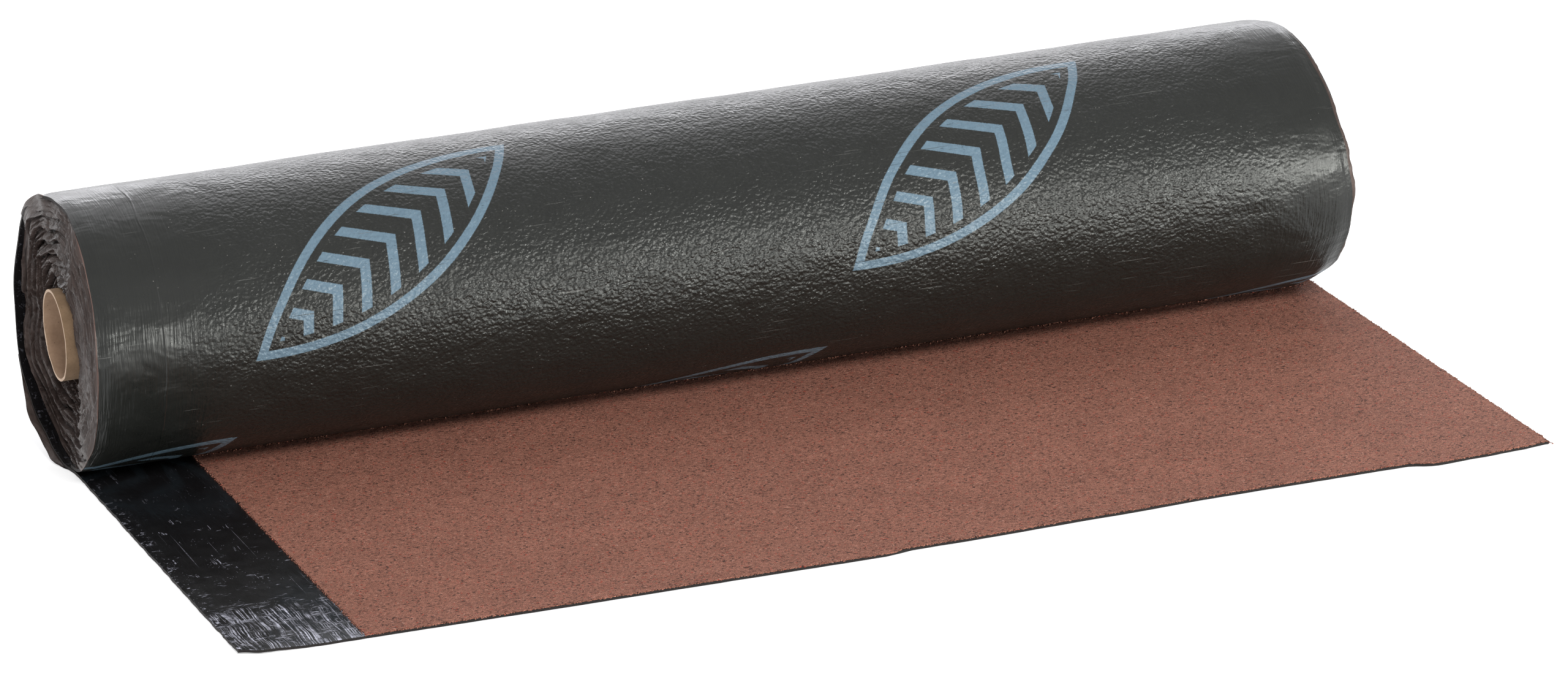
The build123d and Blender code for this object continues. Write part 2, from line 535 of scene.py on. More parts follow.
# %% Helpers for strips
def cut_face(bm, low, high, segments, crowding, bottom, height, start_y):
    """A thin upright grid across the sheet, with more columns near its two ends."""
    bmesh.ops.create_grid(bm, x_segments=segments, y_segments=1, size=0.5)
    bmesh.ops.rotate(bm, verts=bm.verts, matrix=Matrix.Rotation(math.radians(90), 3, "X"))
    for vert in bm.verts:
        share = vert.co.x + 0.5
        share -= crowding * math.sin(full_turn * share) / full_turn
        vert.co = Vector((left_edge + low + (high - low) * share, start_y,
                          bottom + height * (vert.co.z + 0.5)))
    return list(bm.faces)


def carry(bm, faces, centre, angle, steps, shift=(0, 0, 0), first=False):
    """Spins or pushes the end face on, and returns the new end face."""
    step = bmesh.ops.spin(bm, geom=faces, cent=centre, axis=(1, 0, 0), dvec=shift,
                          angle=math.radians(angle), steps=steps, use_duplicate=False)
    if not first:  # the old end face would be a wall inside the strip
        bmesh.ops.delete(bm, geom=faces, context="FACES")
    return [item for item in step["geom_last"] if isinstance(item, bmesh.types.BMFace)]


def finished(bm, name, materials, merge=True):
    """Writes the mesh, checks that it is closed and turned outwards, and rides it on the body."""
    if merge:
        bmesh.ops.remove_doubles(bm, verts=bm.verts, dist=1e-5)
        bmesh.ops.recalc_face_normals(bm, faces=bm.faces)
    open_edges = sum(1 for edge in bm.edges if not edge.is_manifold)
    volume = bm.calc_volume(signed=True)
    mesh = bpy.data.meshes.new(name)
    bm.to_mesh(mesh)
    bm.free()
    for material in materials:
        mesh.materials.append(material)
    mesh.shade_smooth()
    mesh.set_sharp_from_angle(angle=math.radians(48))
    made = new_object(name, mesh)
    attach(made, "root")
    triangles = sum(len(face.vertices) - 2 for face in mesh.polygons)
    print(f"{name}: {triangles} triangles, {open_edges} open edges, {volume * 1e6:.1f} cm3")
    return made


# %% Outer turn and tail, as one strip
outer = bmesh.new()
sheet_layer = outer.verts.layers.float_vector.new("sheet")
columns, tail_steps, back_steps, front_steps = 160, 84, 48, 66
face = cut_face(outer, 0.0, sheet_width, columns, 0.72, 0.0, base_thickness, cut_y)
face = carry(outer, face, back_centre, 0.0, tail_steps, (0, tail_length / tail_steps, 0), first=True)
face = carry(outer, face, back_centre, 180.0, back_steps)
face = carry(outer, face, front_centre, 180.0, front_steps)
print("strip has", len(outer.verts), "points")

# %% [markdown]
# The real sheet isn't wound true. Its left edge wanders by almost 2 cm: it stands out at the back
# of the roll and lies in at the front. The right edge is drawn in at the top. A few measured
# places are enough for each edge, and the sheet between them is stretched from one to the other.
# The surface also has slight dents, and the knife that cut the tail made three strokes.
#
# Each point notes how far across the sheet it is, how far along and how deep, before it is moved.
# The finishes read these numbers, and they also tell which face is which side of the sheet.

# %% Edges and the cut: a share of a turn or of the width, and how far from the true line
left_wander = [(0.0, -0.001), (0.02, -0.0034), (0.07, -0.0058), (0.13, -0.0100), (0.18, -0.0122),
               (0.26, -0.0102), (0.345, -0.0063), (0.40, -0.0054), (0.45, -0.0013), (0.50, 0.0027),
               (0.55, 0.0057), (0.60, 0.0055), (0.67, 0.0047), (0.75, 0.0023), (0.80, 0.0010),
               (0.86, 0.0), (0.90, -0.0024), (1.0, -0.0007)]
right_wander = [(0.0, 0.001), (0.10, -0.004), (0.25, -0.012), (0.38, -0.020), (0.455, -0.0245),
                (0.49, -0.018), (0.53, -0.0155), (0.58, -0.0120), (0.66, -0.0070), (0.72, -0.0020),
                (0.77, 0.0010), (0.81, 0.0), (0.87, -0.004), (0.92, -0.015), (1.0, -0.019)]
knife_strokes = [(0.000, -0.0100), (0.016, -0.0030), (0.064, 0.0000), (0.300, 0.0030),
                 (0.4845, 0.0045), (0.4945, -0.0003), (0.542, -0.0005), (0.647, -0.0040),
                 (0.743, -0.0080), (0.886, -0.0084), (0.9079, -0.0003), (0.944, -0.0024),
                 (0.974, -0.0050), (1.000, -0.0086)]
cut_reach = 0.06  # the strokes die out this far from the cut


# %% Bending the strip
def shape_tail(vert):
    """The cut, a ragged left edge, a front corner that curls up, and slight waves by the lap."""
    knife_lean, curl_height, curl_reach, wave_height = 0.0014, 0.0011, 0.055, 0.0004
    across, along = vert.co.x - left_edge, vert.co.y - cut_y
    vert[sheet_layer] = (across, along, vert.co.z)
    near_cut = 1.0 - smooth(along, 0.0, cut_reach)
    vert.co.y -= through(knife_strokes, across / sheet_width) * near_cut
    vert.co.y += 0.0005 * lumpy(across * 160.0, 7.7) * near_cut
    ragged = 0.0008 * lumpy(along * 90.0, 4.2) + 0.0004 * lumpy(along * 320.0, 1.1)
    vert.co.x += ragged * smooth(across, 0.03, 0.0)
    if along < 1e-6:  # the knife leans, so the cut face looks down a little
        vert.co.y += knife_lean * (1.0 - vert.co.z / base_thickness)
    curl = curl_height * smooth(across, curl_reach, 0.0) * smooth(along, curl_reach, 0.0)
    wave = wave_height * max(0.0, lumpy(across * 9.0, along * 9.0, 2.0)) * smooth(along, 0.45, 0.35)
    vert.co.z += curl + wave * (1.0 - smooth(across, 0.07, 0.10))


def shape_turn(vert):
    """The wander of both edges, dents, and edges that are rolled in a little."""
    dent_height, small_dent_height, left_roll, right_roll = 0.0005, 0.00022, 0.0012, 0.0022
    across = vert.co.x - left_edge
    share, depth = wound(vert.co)
    if share > 0.97 and vert.co.z < 0.012 and vert.co.y >= axis_y - 1e-6:
        share = 0.0
    along = tail_length + full_turn * (back_radius * min(share, 0.5) + front_radius * max(share - 0.5, 0.0))
    vert[sheet_layer] = (across, along, depth)
    place = across / sheet_width
    centre, _ = back if vert.co.y >= axis_y else front
    outwards = Vector((0, vert.co.y - centre.y, vert.co.z - centre.z)).normalized()
    dent = dent_height * lumpy(across * 14.0, along * 20.0, 0.5)
    dent += small_dent_height * lumpy(across * 46.0, along * 60.0, 3.5)
    free = smooth(share, 0.0, 0.06) * (1 - smooth(share, 0.93, 0.99))
    rolled_in = left_roll * smooth(across, 0.010, 0.0) + right_roll * smooth(across, 0.986, 1.0) ** 1.5
    vert.co += outwards * (dent - rolled_in) * free
    vert.co.x += (1 - place) * through(left_wander, share) + place * through(right_wander, share)


for vert in outer.verts:
    on_tail = vert.co.y < axis_y - 1e-6 and vert.co.z < base_thickness + 1e-5
    (shape_tail if on_tail else shape_turn)(vert)
print("outer strip is", round(full_turn * back_radius + tail_length, 3), "m long")

# %% Outer strip: which face has which finish
outer_side, lap_side, cut_side = 0, 1, 2
for face in outer.faces:
    places = [vert[sheet_layer] for vert in face.verts]
    across, along, depth = ([place[axis] for place in places] for axis in range(3))
    if max(across) - min(across) < 1e-6 or max(along) - min(along) < 1e-6:
        face.material_index = cut_side
    elif sum(depth) / len(depth) > base_thickness * 0.6:  # what is not lap strip lies under granules
        in_lap = sum(across) / len(across) < lap_width + 0.004
        face.material_index = lap_side if in_lap else cut_side
    else:
        face.material_index = outer_side
outer_sheet = finished(outer, "outer_turn_and_tail", [outer_film_finish, lap_film_finish, cut_bitumen_finish])
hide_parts("felt_sheet")

# %% [markdown]
# The other twenty turns have the same two centres. Each is wound by itself and then joined to the
# next. They show on the right end, where each turn's edge is a black line with a red-brown line
# of granules under it. So the granule layer there is a second, thinner winding, only as wide as
# can be seen. Towards the left the turns are slid in, and the film folds cover them.

# %% Inner turns
def slide(turn, place):
    """How far a turn stands to the right of the outermost one, at its left or its right edge."""
    at_left = 0.005 * smooth(turn, 0.0, 1.0) + 0.0005 * max(0.0, turn - 1.0)
    at_right = 0.0007 * turn
    return (1.0 - place) * at_left + place * at_right


def wind_inner(low, high, columns, crowding, under, thickness):
    """Turns 1 to 20 of a strip. Each is wound by itself and then joined, which is much quicker."""
    strip = bmesh.new()
    turn_mesh = bpy.data.meshes.new("turn")
    for turn in range(1, turns):
        steps = 40 if turn < 8 else 28
        one = bmesh.new()
        start = cut_face(one, low, high, columns, crowding, turn * pitch + under, thickness, axis_y)
        half = carry(one, start, back_centre, 180.0, steps, first=True)
        end = carry(one, half, front_centre, 180.0, steps)
        inside_walls = (start if turn > 1 else []) + (end if turn < turns - 1 else [])
        bmesh.ops.delete(one, geom=inside_walls, context="FACES")
        one.to_mesh(turn_mesh)
        one.free()
        strip.from_mesh(turn_mesh)
    bpy.data.meshes.remove(turn_mesh)
    return strip


def slide_turns(bm):
    """Slides each turn to its place, and notes where each point is on the sheet."""
    left_part, uneven_by, settling_turns = 0.3, 0.0012, 5.0
    layer = bm.verts.layers.float_vector.new("sheet")
    for vert in bm.verts:
        share, depth = wound(vert.co)
        if share > 0.9999:  # the end of one turn is the start of the next
            share, depth = 0.0, depth + (pitch if vert.co.y < axis_y else 0.0)
        whole = math.floor(max(0.0, depth / pitch) + 1e-4)
        count = whole + share
        place = min(1.0, max(0.0, (vert.co.x - left_edge) / sheet_width))
        along = tail_length + full_turn * (back_radius - whole * pitch) * count
        vert[layer] = (vert.co.x - left_edge, along, depth - whole * pitch)
        # a turn sets out from where the one outside it has ended, and wanders less and less
        settled = smooth(share, 0.0, 0.15)
        at_left = through(left_wander, 1.0) * (1 - settled) + through(left_wander, share) * settled
        at_right = through(right_wander, 1.0) * (1 - settled) + through(right_wander, share) * settled
        c, s = math.cos(full_turn * share), math.sin(full_turn * share)
        uneven = uneven_by * lumpy(c * 1.4, s * 1.4, count * 0.9)
        wander = (1 - place) * left_part * at_left + place * at_right + uneven
        vert.co.x += slide(count, place) + wander * math.exp(-(count - 1) / settling_turns)


inner = wind_inner(0.0, sheet_width, 10, 0.9, 0.0, base_thickness)
slide_turns(inner)
depth_layer = inner.verts.layers.float_vector["sheet"]
for face in inner.faces:  # the outer side of a turn is film, also where it stands out at the end
    depths = [vert[depth_layer].z for vert in face.verts]
    face.material_index = 1 if max(depths) < 0.3 * base_thickness or min(depths) > 0.9 * pitch else 0
inner_turns = finished(inner, "inner_turns", [cut_bitumen_finish, outer_film_finish])

# %% [markdown]
# The granules are crushed stone, baked to a red-brown and mixed with a few dark ones and a few
# of a stronger red. Each is a millimetre or so across. The open tail has some hundred thousands
# of them, so most are the cells of a Voronoi texture, one colour and one height each, on a
# surface that is itself uneven. Along the edges, where they show against the floor and the
# film, real ones are added as small angular stones.

# %% Granule finish
def stone_granules():
    grains_per_metre, jitter_by = 760.0, 0.0006
    stone = Recipe("stone_granules")
    place = stone.place()
    jitter = stone.add("ShaderNodeTexNoise", {"Vector": place, "Scale": 500.0, "Detail": 1.0})
    values = {0: jitter.outputs["Color"], "Scale": jitter_by}
    small = stone.add("ShaderNodeVectorMath", values, operation="SCALE").outputs[0]
    wobbled = stone.add("ShaderNodeVectorMath", {0: place, 1: small}, operation="ADD").outputs[0]
    grains = stone.cells(wobbled, grains_per_metre)
    pick = stone.parts(grains["Color"])
    ramp = stone.add("ShaderNodeValToRGB", {"Fac": pick[0]})
    stops = [(0.0, (0.042, 0.020, 0.016)), (0.05, (0.085, 0.036, 0.026)), (0.09, (0.180, 0.074, 0.052)),
             (0.22, (0.245, 0.103, 0.072)), (0.60, (0.305, 0.131, 0.092)), (0.93, (0.370, 0.165, 0.118)),
             (0.960, (0.340, 0.056, 0.034)), (0.985, (0.42, 0.22, 0.165))]
    while len(ramp.color_ramp.elements) < len(stops):
        ramp.color_ramp.elements.new(0.5)
    for element, (position, tint) in zip(ramp.color_ramp.elements, stops):
        element.position = position
        element.color = (*tint, 1)
    patches = stone.fade(stone.cloud(place, 16.0, 4.0, 0.6), 0.30, 0.70, 0.94, 1.06)
    # painted shade: each grain darkens towards its edge, for the shade in the gaps between grains; the
    # patches are tone that differs at random
    to_edge = stone.cells(wobbled, grains_per_metre, "DISTANCE_TO_EDGE")["Distance"]
    shade = stone.times(patches, stone.fade(to_edge, 0.0, 0.12, 0.32, 1.03))
    values = {0: ramp.outputs["Color"], "Scale": shade}
    colour = stone.add("ShaderNodeVectorMath", values, operation="SCALE").outputs[0]
    domes = stone.plus(stone.fade(grains["Distance"], 0.0, 0.75, 1.0, 0.0), stone.times(pick[1], 0.5))
    return stone.finish(colour, 0.80, stone.relief(domes, 0.0006), 0.25)


stone_finish = stone_granules()

# %% Granule layer on the tail
layer_low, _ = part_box("granule_layer")
into_nip, sunk = 0.006, 0.0003  # how far the layer runs on into the nip, and down into the bitumen
layer = bmesh.new()
bmesh.ops.create_grid(layer, x_segments=340, y_segments=176, size=0.5)
layer_bottom, layer_top = base_thickness, base_thickness + granule_thickness
for vert in layer.verts:
    x = left_edge + lap_width + (sheet_width - lap_width) * (vert.co.x + 0.5)
    y = cut_y + (tail_length + into_nip) * (vert.co.y + 0.5)
    vert.co = Vector((x, y, layer_top))
rim = [edge for edge in layer.edges if edge.is_boundary]
skirt = bmesh.ops.extrude_edge_only(layer, edges=rim)["geom"]
skirt_verts = [item for item in skirt if isinstance(item, bmesh.types.BMVert)]
bmesh.ops.translate(layer, verts=skirt_verts, vec=(0, 0, -granule_thickness - sunk))
bmesh.ops.contextual_create(layer, geom=[item for item in skirt if isinstance(item, bmesh.types.BMEdge)])
print("granule layer from", [round(value, 4) for value in layer_low], "with", len(layer.verts), "points")

# %% Uneven surface and ragged edges
grain_height, broad_height, edge_band, right_gap = 0.00028, 0.00012, 0.004, 0.0012
for vert in layer.verts:
    across, along = vert.co.x - left_edge, vert.co.y - cut_y
    if vert.co.z > layer_bottom + 1e-5:
        vert.co.z += grain_height * lumpy(across * 260.0, along * 260.0, 0.3)
        vert.co.z += broad_height * lumpy(across * 12.0, along * 12.0, 5.0) - 0.0001
    near_cut = 1.0 - smooth(along, 0.0, cut_reach)
    vert.co.y -= (through(knife_strokes, across / sheet_width) - 0.0006) * near_cut
    jag = lumpy(across * 420.0, along * 420.0, 9.0)
    vert.co.y += 0.0007 * jag * (1.0 - smooth(along, 0.0, edge_band))
    vert.co.x += (0.0011 * jag + 0.0005) * (1.0 - smooth(across, lap_width, lap_width + edge_band))
    vert.co.x += (0.0009 * jag - right_gap) * smooth(across, sheet_width - 0.003, sheet_width)
granule_layer = finished(layer, "granules_on_tail", [stone_finish])
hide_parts("granule_layer")

# %% Granule strip at the right end of the inner turns
strip_width = 0.03
thin = wind_inner(sheet_width - strip_width, sheet_width - right_gap, 2, 0.0,
                  base_thickness, granule_thickness)
slide_turns(thin)
between_turns = finished(thin, "granules_between_turns", [stone_finish])


# %% Loose stones
def stones(name, spots, seed):
    """Small angular stones, made a handful at a time and then joined into one piece."""
    handful_size, any_angle = 50, 6.28
    draw = random.Random(seed)
    pile = bmesh.new()
    handful_mesh = bpy.data.meshes.new("handful")
    for start in range(0, len(spots), handful_size):
        handful = bmesh.new()
        for x, y, z, size in spots[start:start + handful_size]:
            stone = bmesh.ops.create_icosphere(handful, subdivisions=1, radius=size / 2)["verts"]
            turn = Matrix.Rotation(draw.uniform(0, any_angle), 3, "Z")
            turn = turn @ Matrix.Rotation(draw.uniform(0, any_angle), 3, "X")
            stretch = (draw.uniform(0.8, 1.3), draw.uniform(0.7, 1.0), draw.uniform(0.55, 0.9))
            bmesh.ops.scale(handful, verts=stone, vec=stretch)
            bmesh.ops.rotate(handful, verts=stone, matrix=turn)
            bmesh.ops.translate(handful, verts=stone, vec=(x, y, z))
        handful.to_mesh(handful_mesh)
        handful.free()
        pile.from_mesh(handful_mesh)
    bpy.data.meshes.remove(handful_mesh)
    made = finished(pile, name, [stone_finish], merge=False)
    for polygon in made.data.polygons:
        polygon.use_smooth = False


# %% Stones along the edges: the cut, then the lap and the right edge, then the nip
draw = random.Random(11)
at_cut, at_sides, at_nip = 1250, 620, 900
spots = []
for index in range(at_cut):
    across = lap_width + (sheet_width - lap_width - 0.002) * (index + draw.random()) / at_cut
    y = cut_y - through(knife_strokes, across / sheet_width) + draw.uniform(-0.0009, 0.0012)
    z = layer_top - draw.uniform(0.0001, 0.0008)
    spots.append((left_edge + across, y, z, draw.uniform(0.0007, 0.0016)))
for index in range(at_sides):
    y = cut_y + (tail_length + 0.004) * (index + draw.random()) / at_sides + 0.0005
    for edge, inwards, low in ((lap_width, 0.0012, 0.0003), (sheet_width - right_gap, 0.0009, 0.0002)):
        x = left_edge + edge + draw.uniform(-0.0010, inwards)
        z = layer_bottom + draw.uniform(low, 0.0008)
        spots.append((x, y, z, draw.uniform(0.0007, 0.0015)))
for index in range(at_nip):
    across = lap_width + (sheet_width - lap_width) * (index + draw.random()) / at_nip
    y = axis_y - draw.uniform(0.012, 0.020)
    z = layer_top + draw.uniform(-0.0003, 0.0006)
    spots.append((left_edge + across, y, z, draw.uniform(0.0009, 0.0017)))
stones("granules_along_edges", spots, 5)


# %% [markdown]
# At the left end the thin film overhangs every turn, and it has been pressed and melted over
# the ends into long folds that run round the roll. It would take many sheets to build them one
# by one. Here one closed ring stands for them. It starts as a flat grid that is rolled up both
# ways, and then each point is pushed out or in. The steps in it are layers of film: each slopes
# up towards the tube and ends in a thin edge that hangs over the next. Slow noise bends the
# layers, so that they run on round the roll but split and join.
#
# The recipe reads how far each point was pushed, and paints the bottom of a fold and the holes nearly black,
# as painted shade.

# %% Folded film finish
def folded_film():
    film = Recipe("folded_film")
    place = film.place()
    depth, inwards, _ = film.parts(film.stored("skin"))
    _, y, z = film.parts(place)
    y, z = film.minus(y, axis_y), film.minus(z, axis_z)
    radius = film.sum("SQRT", film.plus(film.times(y, y), film.times(z, z)))
    bent = film.plus(radius, film.times(film.cloud(place, 26.0, 2.0), 0.016))
    round_roll = film.point(film.times(bent, 620.0), film.times(y, 26.0), film.times(z, 26.0))
    strands = film.cloud(round_roll, 1.0, 3.0, 0.6)
    cloudy = film.cloud(place, 40.0, 3.0, 0.55)
    brown = film.blend(film.fade(cloudy, 0.3, 0.7), (0.036, 0.025, 0.022), (0.062, 0.045, 0.040))
    # painted highlight: where the strands stand high the film is made lighter, as if their tops caught the
    # light
    brown = film.blend(film.fade(strands, 0.42, 0.66, 0.0, 0.5), brown, (0.105, 0.078, 0.070))
    # painted shade: the deeper a point was pushed in, the nearer to black it is, in fold bottoms and holes
    # alike
    brown = film.blend(film.fade(depth, 0.0, -0.0026, 0.0, 0.94), brown, (0.004, 0.003, 0.0026))
    brown = film.blend(film.fade(inwards, 0.0, 0.010, 0.35, 0.0), brown, (0.16, 0.094, 0.080))
    normal = film.relief(strands, 0.0009)
    normal = film.relief(film.cloud(place, 260.0, 3.0, 0.6, 0.6), 0.00018, normal)
    return film.finish(brown, film.fade(cloudy, 0.3, 0.7, 0.25, 0.35), normal, 0.15)


folded_film_finish = folded_film()

# %% The film's outline at the left end: a share of a turn, and a measure there
film_points, film_steps = 128, 520
film_wall, film_overlap = 0.016, 0.0060
tube_radius = (tube_high.z - tube_low.z) / 2
film_rim_depth = [(0.0, 0.0034), (0.02, 0.0030), (0.362, 0.0030), (0.378, -0.0003), (0.455, -0.0003),
                  (0.480, 0.0032), (0.56, 0.0030), (0.60, 0.0011), (0.93, 0.0011), (1.0, 0.0004)]
film_rim_back = [(0.0, 0.0040), (0.03, 0.0070), (0.117, 0.0090), (0.15, 0.0080), (0.18, 0.0065),
                 (0.217, 0.0065), (0.25, 0.0085), (0.28, 0.0060), (0.32, 0.0047), (0.362, 0.0040),
                 (0.378, -0.0004), (0.455, -0.0004), (0.480, 0.0010), (0.56, 0.0008),
                 (0.60, -0.0008), (0.93, -0.0006), (0.97, 0.0010), (1.0, 0.0040)]
film_at_tube = [(0.0, 0.0115), (0.12, 0.0080), (0.30, 0.0045), (0.75, 0.0045), (0.88, 0.0075),
                (1.0, 0.0115)]
film_holes = ((0.940, 0.0985), (0.953, 0.0945), (0.930, 0.0940))  # a share and a radius


# %% Folds
def layered(count):
    """One layer of film in each whole count: a thin edge, and a slope down and away from it."""
    part = count % 1.0
    return smooth(part, 0.0, 0.17) * (1.0 - part) ** 0.8


def film_relief(share, inwards, radius):
    """How far a point of the film stands out, and how far it leans towards the tube."""
    wide_step, wide_height, wide_lean = 0.0096, 0.0036, 0.0016
    narrow_step, narrow_height, narrow_lean = 0.0043, 0.0019, 0.0008
    hole_depth, hole_length, hole_width = 0.0075, 0.0036, 0.0012
    c, s = math.cos(full_turn * share), math.sin(full_turn * share)

    # two sizes of layers, bent by slow noise
    slow = lumpy(c * 1.3 + 7.0, s * 1.3, radius / 0.045)
    wide = radius / wide_step + 1.6 * slow + 0.5 * lumpy(c * 3.1, s * 3.1 + 2.0, radius / 0.020)
    narrow = radius / narrow_step + 2.8 * slow + 0.9 * lumpy(c * 4.3 + 4.0, s * 4.3, radius / 0.012)
    first, second = layered(wide), layered(narrow)
    whole = smooth(lumpy(c * 2.2, s * 2.2, radius / 0.011 + 9.0), -0.30, 0.20)

    # the folds are deepest above and below the tube
    at_top, at_bottom = smooth(-c, -0.2, 0.9), smooth(c, 0.2, 0.95)
    deep = 1.0 + 0.8 * max(at_top, 0.7 * at_bottom) * smooth(radius, 0.096, 0.076)
    height = wide_height * (first - 0.42) + narrow_height * (second - 0.42) * (0.35 + 0.65 * whole)
    height *= deep
    slanted = lumpy(c * 7.0 + radius * 90.0, s * 7.0 - radius * 60.0, radius / 0.0065)
    height -= 0.0007 * max(0.0, 0.22 - abs(slanted)) / 0.22 * (1.0 - 0.6 * whole)
    height += 0.0014 * lumpy(c * 2.4, s * 2.4 + 6.0, radius / 0.024)

    # they die out at the rim and at the tube, and on the flap that lies over the top of the roll
    flap = smooth(share, 0.360, 0.378) * (1 - smooth(share, 0.455, 0.480)) * (1 - smooth(inwards, 0.10, 0.17))
    kept = smooth(inwards, 0.0, 0.02) * (1.0 - 0.35 * smooth(inwards, 0.90, 1.0)) * (1.0 - 0.8 * flap)
    height *= kept
    for at_share, at_radius in film_holes:
        round_hole = (share - at_share) * full_turn * at_radius / hole_length
        out_hole = (radius - at_radius) / hole_width
        height -= hole_depth * (1.0 - smooth(math.hypot(round_hole, out_hole), 0.75, 1.05))
    lean = (wide_lean * first + narrow_lean * second * whole) * kept
    return height, lean * (1.0 - smooth(inwards, 0.94, 0.98))


# %% Folded film, left end
ring = bmesh.new()
skin_layer = ring.verts.layers.float_vector.new("skin")
section_points = film_points + 3  # the front, from rim to tube, and two points behind it
bmesh.ops.create_grid(ring, x_segments=section_points, y_segments=film_steps, size=0.5)
for vert in ring.verts:
    index = round((vert.co.x + 0.5) * section_points) % section_points
    share = round((vert.co.y + 0.5) * film_steps) % film_steps / film_steps
    seen = index <= film_points
    inwards = index / film_points if seen else (1.0 if index == film_points + 1 else 0.0)
    centre, radius = back if share < 0.5 else front
    ray = Vector((0, math.sin(full_turn * share), -math.cos(full_turn * share)))
    rim_depth = through(film_rim_depth, share) + (0.0 if seen else film_overlap)
    rim_point = centre + ray * (radius - rim_depth)
    tube_point = Vector((0, axis_y, axis_z)) + ray * (tube_radius + 0.0003)
    point = rim_point.lerp(tube_point, inwards)
    point_radius = math.hypot(point.y - axis_y, point.z - axis_z)
    x = left_edge + (1 - inwards) * (through(left_wander, share) + through(film_rim_back, share))
    x += inwards * through(film_at_tube, share)
    height, lean = film_relief(share, inwards, point_radius)
    if seen:
        vert.co = point - ray * lean + Vector((x - height, 0, 0))
    else:
        vert.co = point + Vector((x + film_wall, 0, 0))
    # the height kept here is darkened by the finish into painted shade at the bottom of the folds
    vert[skin_layer] = (height, inwards, 0.0)
left_film = finished(ring, "folded_film_left", [folded_film_finish])

# %% [markdown]
# Two narrower hems of the same film are thin strips. One flares out past the sheet's edge low
# down at the back of the left end. The other is rolled over the edge of the right end, all the
# way round, and makes its outline lumpy. Each strip is a small grid bent into a hem and spun.

# %% Film hems
hem_thickness = 0.0003


def hem(name, first_share, last_share, columns, steps, bend):
    """A thin closed strip along the winding. bend gives x and depth for each point."""
    axis, half_thickness = (0, axis_y, axis_z), hem_thickness / 2
    strip = bmesh.new()
    layer = strip.verts.layers.float_vector.new("skin")
    bmesh.ops.create_grid(strip, x_segments=columns, y_segments=1, size=0.5)
    for vert in strip.verts:
        vert.co = Vector((vert.co.x + 0.5, axis_y + 1.0 + 0.1 * (vert.co.y + 0.5), axis_z))
    start = Matrix.Rotation(math.radians(360.0 * first_share - 90.0), 3, "X")
    bmesh.ops.rotate(strip, verts=strip.verts, cent=axis, matrix=start)
    carry(strip, list(strip.faces), axis, 360.0 * (last_share - first_share), steps, first=True)
    for vert in strip.verts:
        y, z = vert.co.y - axis_y, vert.co.z - axis_z
        share = ((math.degrees(math.atan2(z, y)) + 90.0) % 360.0) / 360.0
        side = half_thickness if math.hypot(y, z) > 1.05 else -half_thickness
        position = vert.co.x
        x, depth = bend(position, share)
        x_before, depth_before = bend(position - 0.02, share)
        x_after, depth_after = bend(position + 0.02, share)
        # the strip gets its thickness square to the way that it runs
        run = Vector((x_after - x_before, depth_after - depth_before)).normalized()
        centre, radius = back if share < 0.5 else front
        ray = Vector((0, y, z)).normalized()
        # a height made up from noise, which the folded-film finish turns into patches of painted shade
        vert[layer] = (0.0012 * lumpy(x * 300.0, share * 60.0, depth * 300.0), 0.5, 0.0)
        vert.co = centre + ray * (radius - depth + run.x * side) + Vector((x + run.y * side, 0, 0))
        vert.co.z = max(vert.co.z, 0.0002)  # it never goes under the floor
    made = finished(strip, name, [folded_film_finish])


def flared(position, share):
    """From the outer face of the sheet, out past its left edge and slightly away from the roll."""
    flare_reach, flare_lift, overlap = 0.0044, 0.0018, 0.006
    body = smooth(share, 0.005, 0.05) * (1.0 - smooth(share, 0.12, 0.18))
    reach = flare_reach * body * (1.0 + 0.25 * lumpy(share * 40.0, 2.0))
    x = left_edge + through(left_wander, share) + overlap - (overlap + reach) * position
    lumps = 0.0006 * lumpy(share * 90.0, position * 3.0, 1.0)
    return x, -0.0003 - flare_lift * body * position ** 2 + lumps * position


def rolled_over(position, share):
    """From under the sheet's right edge, out past it in lumps, and in over the turns' ends."""
    proud_by, lump_height, pleat_height, tucked = 0.0030, 0.0028, 0.0005, 0.0045
    c, s = math.cos(full_turn * share), math.sin(full_turn * share)
    lump = lumpy(c * 2.6, s * 2.6, 3.0) + 0.5 * lumpy(c * 8.0, s * 8.0, 8.0)
    pleats = lumpy(c * 22.0, s * 22.0, position * 2.0)
    proud = proud_by + lump_height * max(-0.6, lump) + pleat_height * pleats
    edge = left_edge + sheet_width + through(right_wander, share)
    bulge = math.sin(math.pi * min(0.97, max(0.03, 0.10 + 0.84 * position))) ** 0.6
    ripple = lumpy(c * 9.0, s * 9.0, position * 3.0)
    depth = 0.0031 + 0.0085 * smooth(position, 0.15, 1.0) + 0.0010 * position * ripple
    return edge - tucked + (proud + tucked) * bulge, depth


hem("film_hem_left", 0.006, 0.190, 10, 130, flared)
hem("film_hem_right", 0.004, 0.992, 14, 420, rolled_over)


# %% [markdown]
# The tube is wound from kraft board in a spiral, so its outside has one slanted seam, and its
# cut end shows a paler rim. It is a ring spun once round the axis. A few points of the rim are
# pushed in where the board has come apart.

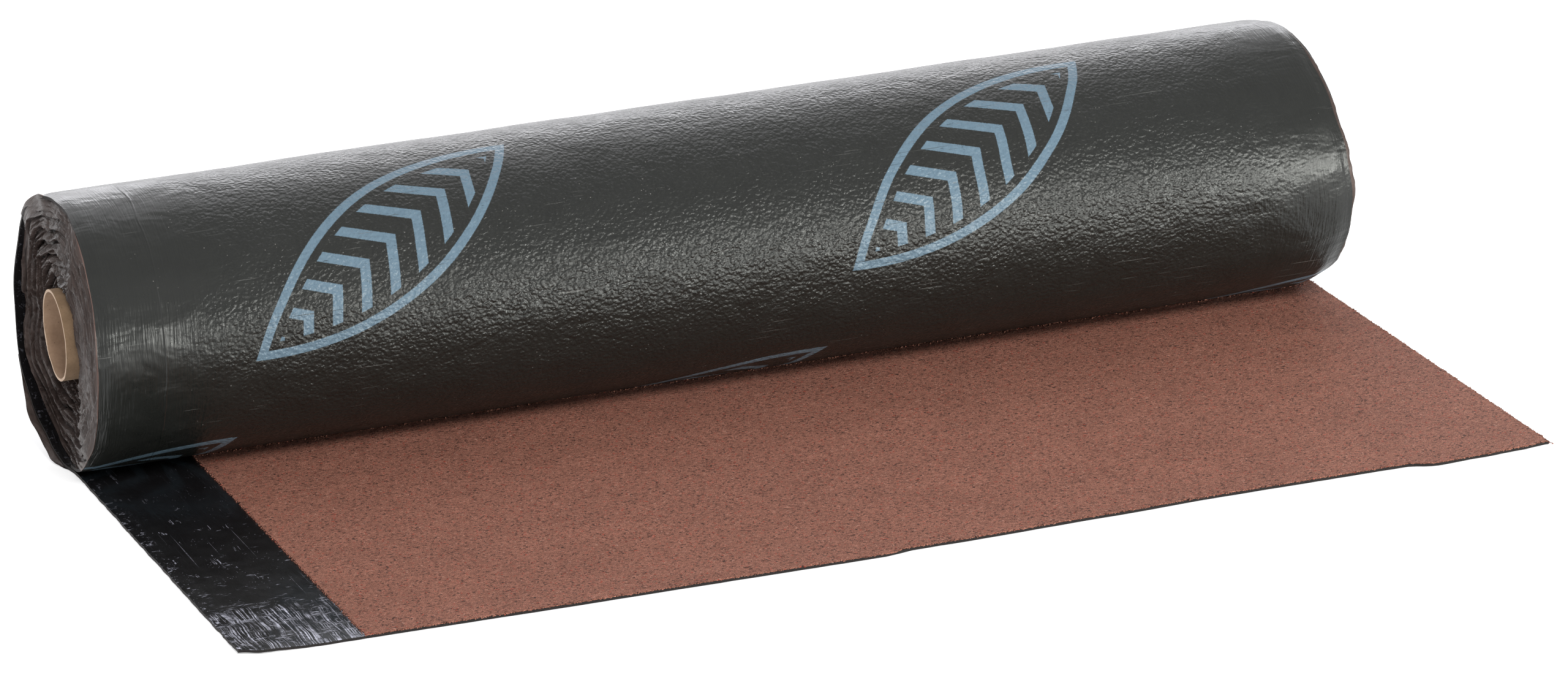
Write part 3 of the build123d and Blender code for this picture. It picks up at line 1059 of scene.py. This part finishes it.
# %% Tube finish
def kraft_board(name, first, second, with_seam=False):
    seam_step, seam_shift, seam_width = 0.075, 20.28, 0.011  # its width is a share of the step
    board = Recipe(name)
    place = board.place()
    x, y, z = board.parts(place)
    blotches = board.fade(board.cloud(place, 75.0, 4.0, 0.65), 0.32, 0.68)
    pulp = board.plus(board.times(board.cloud(place, 520.0, 5.0, 0.7), 0.6), board.times(blotches, 0.4))
    fibres = board.strokes(place, 0.0, (40.0, 300.0, 300.0), 4.0, 0.6)
    dots = board.fade_out(board.cells(place, 230.0)["Distance"], 0.07, 0.14)
    colour = board.blend(pulp, first, second)
    colour = board.blend(board.times(fibres, 0.35), colour, (0.30, 0.205, 0.125))
    colour = board.blend(board.times(dots, 0.5), colour, (0.12, 0.075, 0.045))
    normal = board.relief(pulp, 0.00015)
    if with_seam:
        turn = board.sum("ARCTAN2", board.minus(z, axis_z), board.minus(y, axis_y))
        along_seam = board.plus(board.times(x, 1 / seam_step), board.times(turn, 1 / full_turn))
        away = board.apart(board.sum("FRACT", board.plus(along_seam, seam_shift)), 0.5)
        seam = board.fade_out(away, 0.0, seam_width)
        colour = board.blend(board.times(seam, 0.75), colour, (0.085, 0.05, 0.03))
        normal = board.relief(seam, -0.0003, normal)
    return board.finish(colour, 0.86, normal)


tube_finishes = [kraft_board("kraft_outside", (0.165, 0.102, 0.056), (0.37, 0.245, 0.150), True),
                 kraft_board("kraft_inside", (0.310, 0.200, 0.130), (0.56, 0.385, 0.268)),
                 kraft_board("kraft_rim", (0.60, 0.43, 0.31), (0.78, 0.60, 0.46))]

# %% Tube
tube = bmesh.new()
tube_wall, steps_round = 0.002, 160
bore_radius, middle_radius = tube_radius - tube_wall, tube_radius - tube_wall / 2
lengths = [0.0, 0.0012, 0.003, 0.006, 0.010, 0.015, 0.022, 0.05, 0.2, 0.5, 0.8, 0.95, 0.99, 1.0]
bmesh.ops.create_circle(tube, segments=2 * len(lengths), radius=1.0, cap_ends=False)
for index, vert in enumerate(tube.verts):  # along the outside, and back along the bore
    outside = index < len(lengths)
    length = lengths[index] if outside else lengths[2 * len(lengths) - 1 - index]
    x = tube_low.x + length * (tube_high.x - tube_low.x)
    vert.co = Vector((x, axis_y + (tube_radius if outside else bore_radius), axis_z))
bmesh.ops.spin(tube, geom=list(tube.verts) + list(tube.edges), cent=(0, axis_y, axis_z), axis=(1, 0, 0),
               dvec=(0, 0, 0), angle=full_turn, steps=steps_round, use_merge=True)
for face in tube.faces:
    middle = face.calc_center_median()
    radius = math.hypot(middle.y - axis_y, middle.z - axis_z)
    on_rim = abs(radius - middle_radius) < 0.0006
    face.material_index = 2 if on_rim else (0 if radius > middle_radius else 1)
print("tube has", len(tube.verts), "points")

# %% The tube's worn end
frayed, split, chipped, split_chipped = 0.012, 0.0017, 0.0009, 0.0012
for vert in tube.verts:
    y, z = vert.co.y - axis_y, vert.co.z - axis_z
    angle, radius = math.degrees(math.atan2(z, y)), math.hypot(y, z)
    near_end = 1.0 - smooth(vert.co.x - tube_low.x, 0.0, frayed)
    apart = smooth(angle, -40.0, -22.0) * (1.0 - smooth(angle, -14.0, -4.0))
    if radius < bore_radius + 0.0005:
        vert.co.y -= y / radius * split * apart * near_end
        vert.co.z -= z / radius * split * apart * near_end
    chip = chipped * max(0.0, lumpy(y * 60.0, z * 60.0, 4.0))
    chip += split_chipped * apart * max(0.0, lumpy(angle * 0.4, 1.0))
    vert.co.x += chip * near_end
core = finished(tube, "cardboard_tube", tube_finishes)
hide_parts("core_tube")
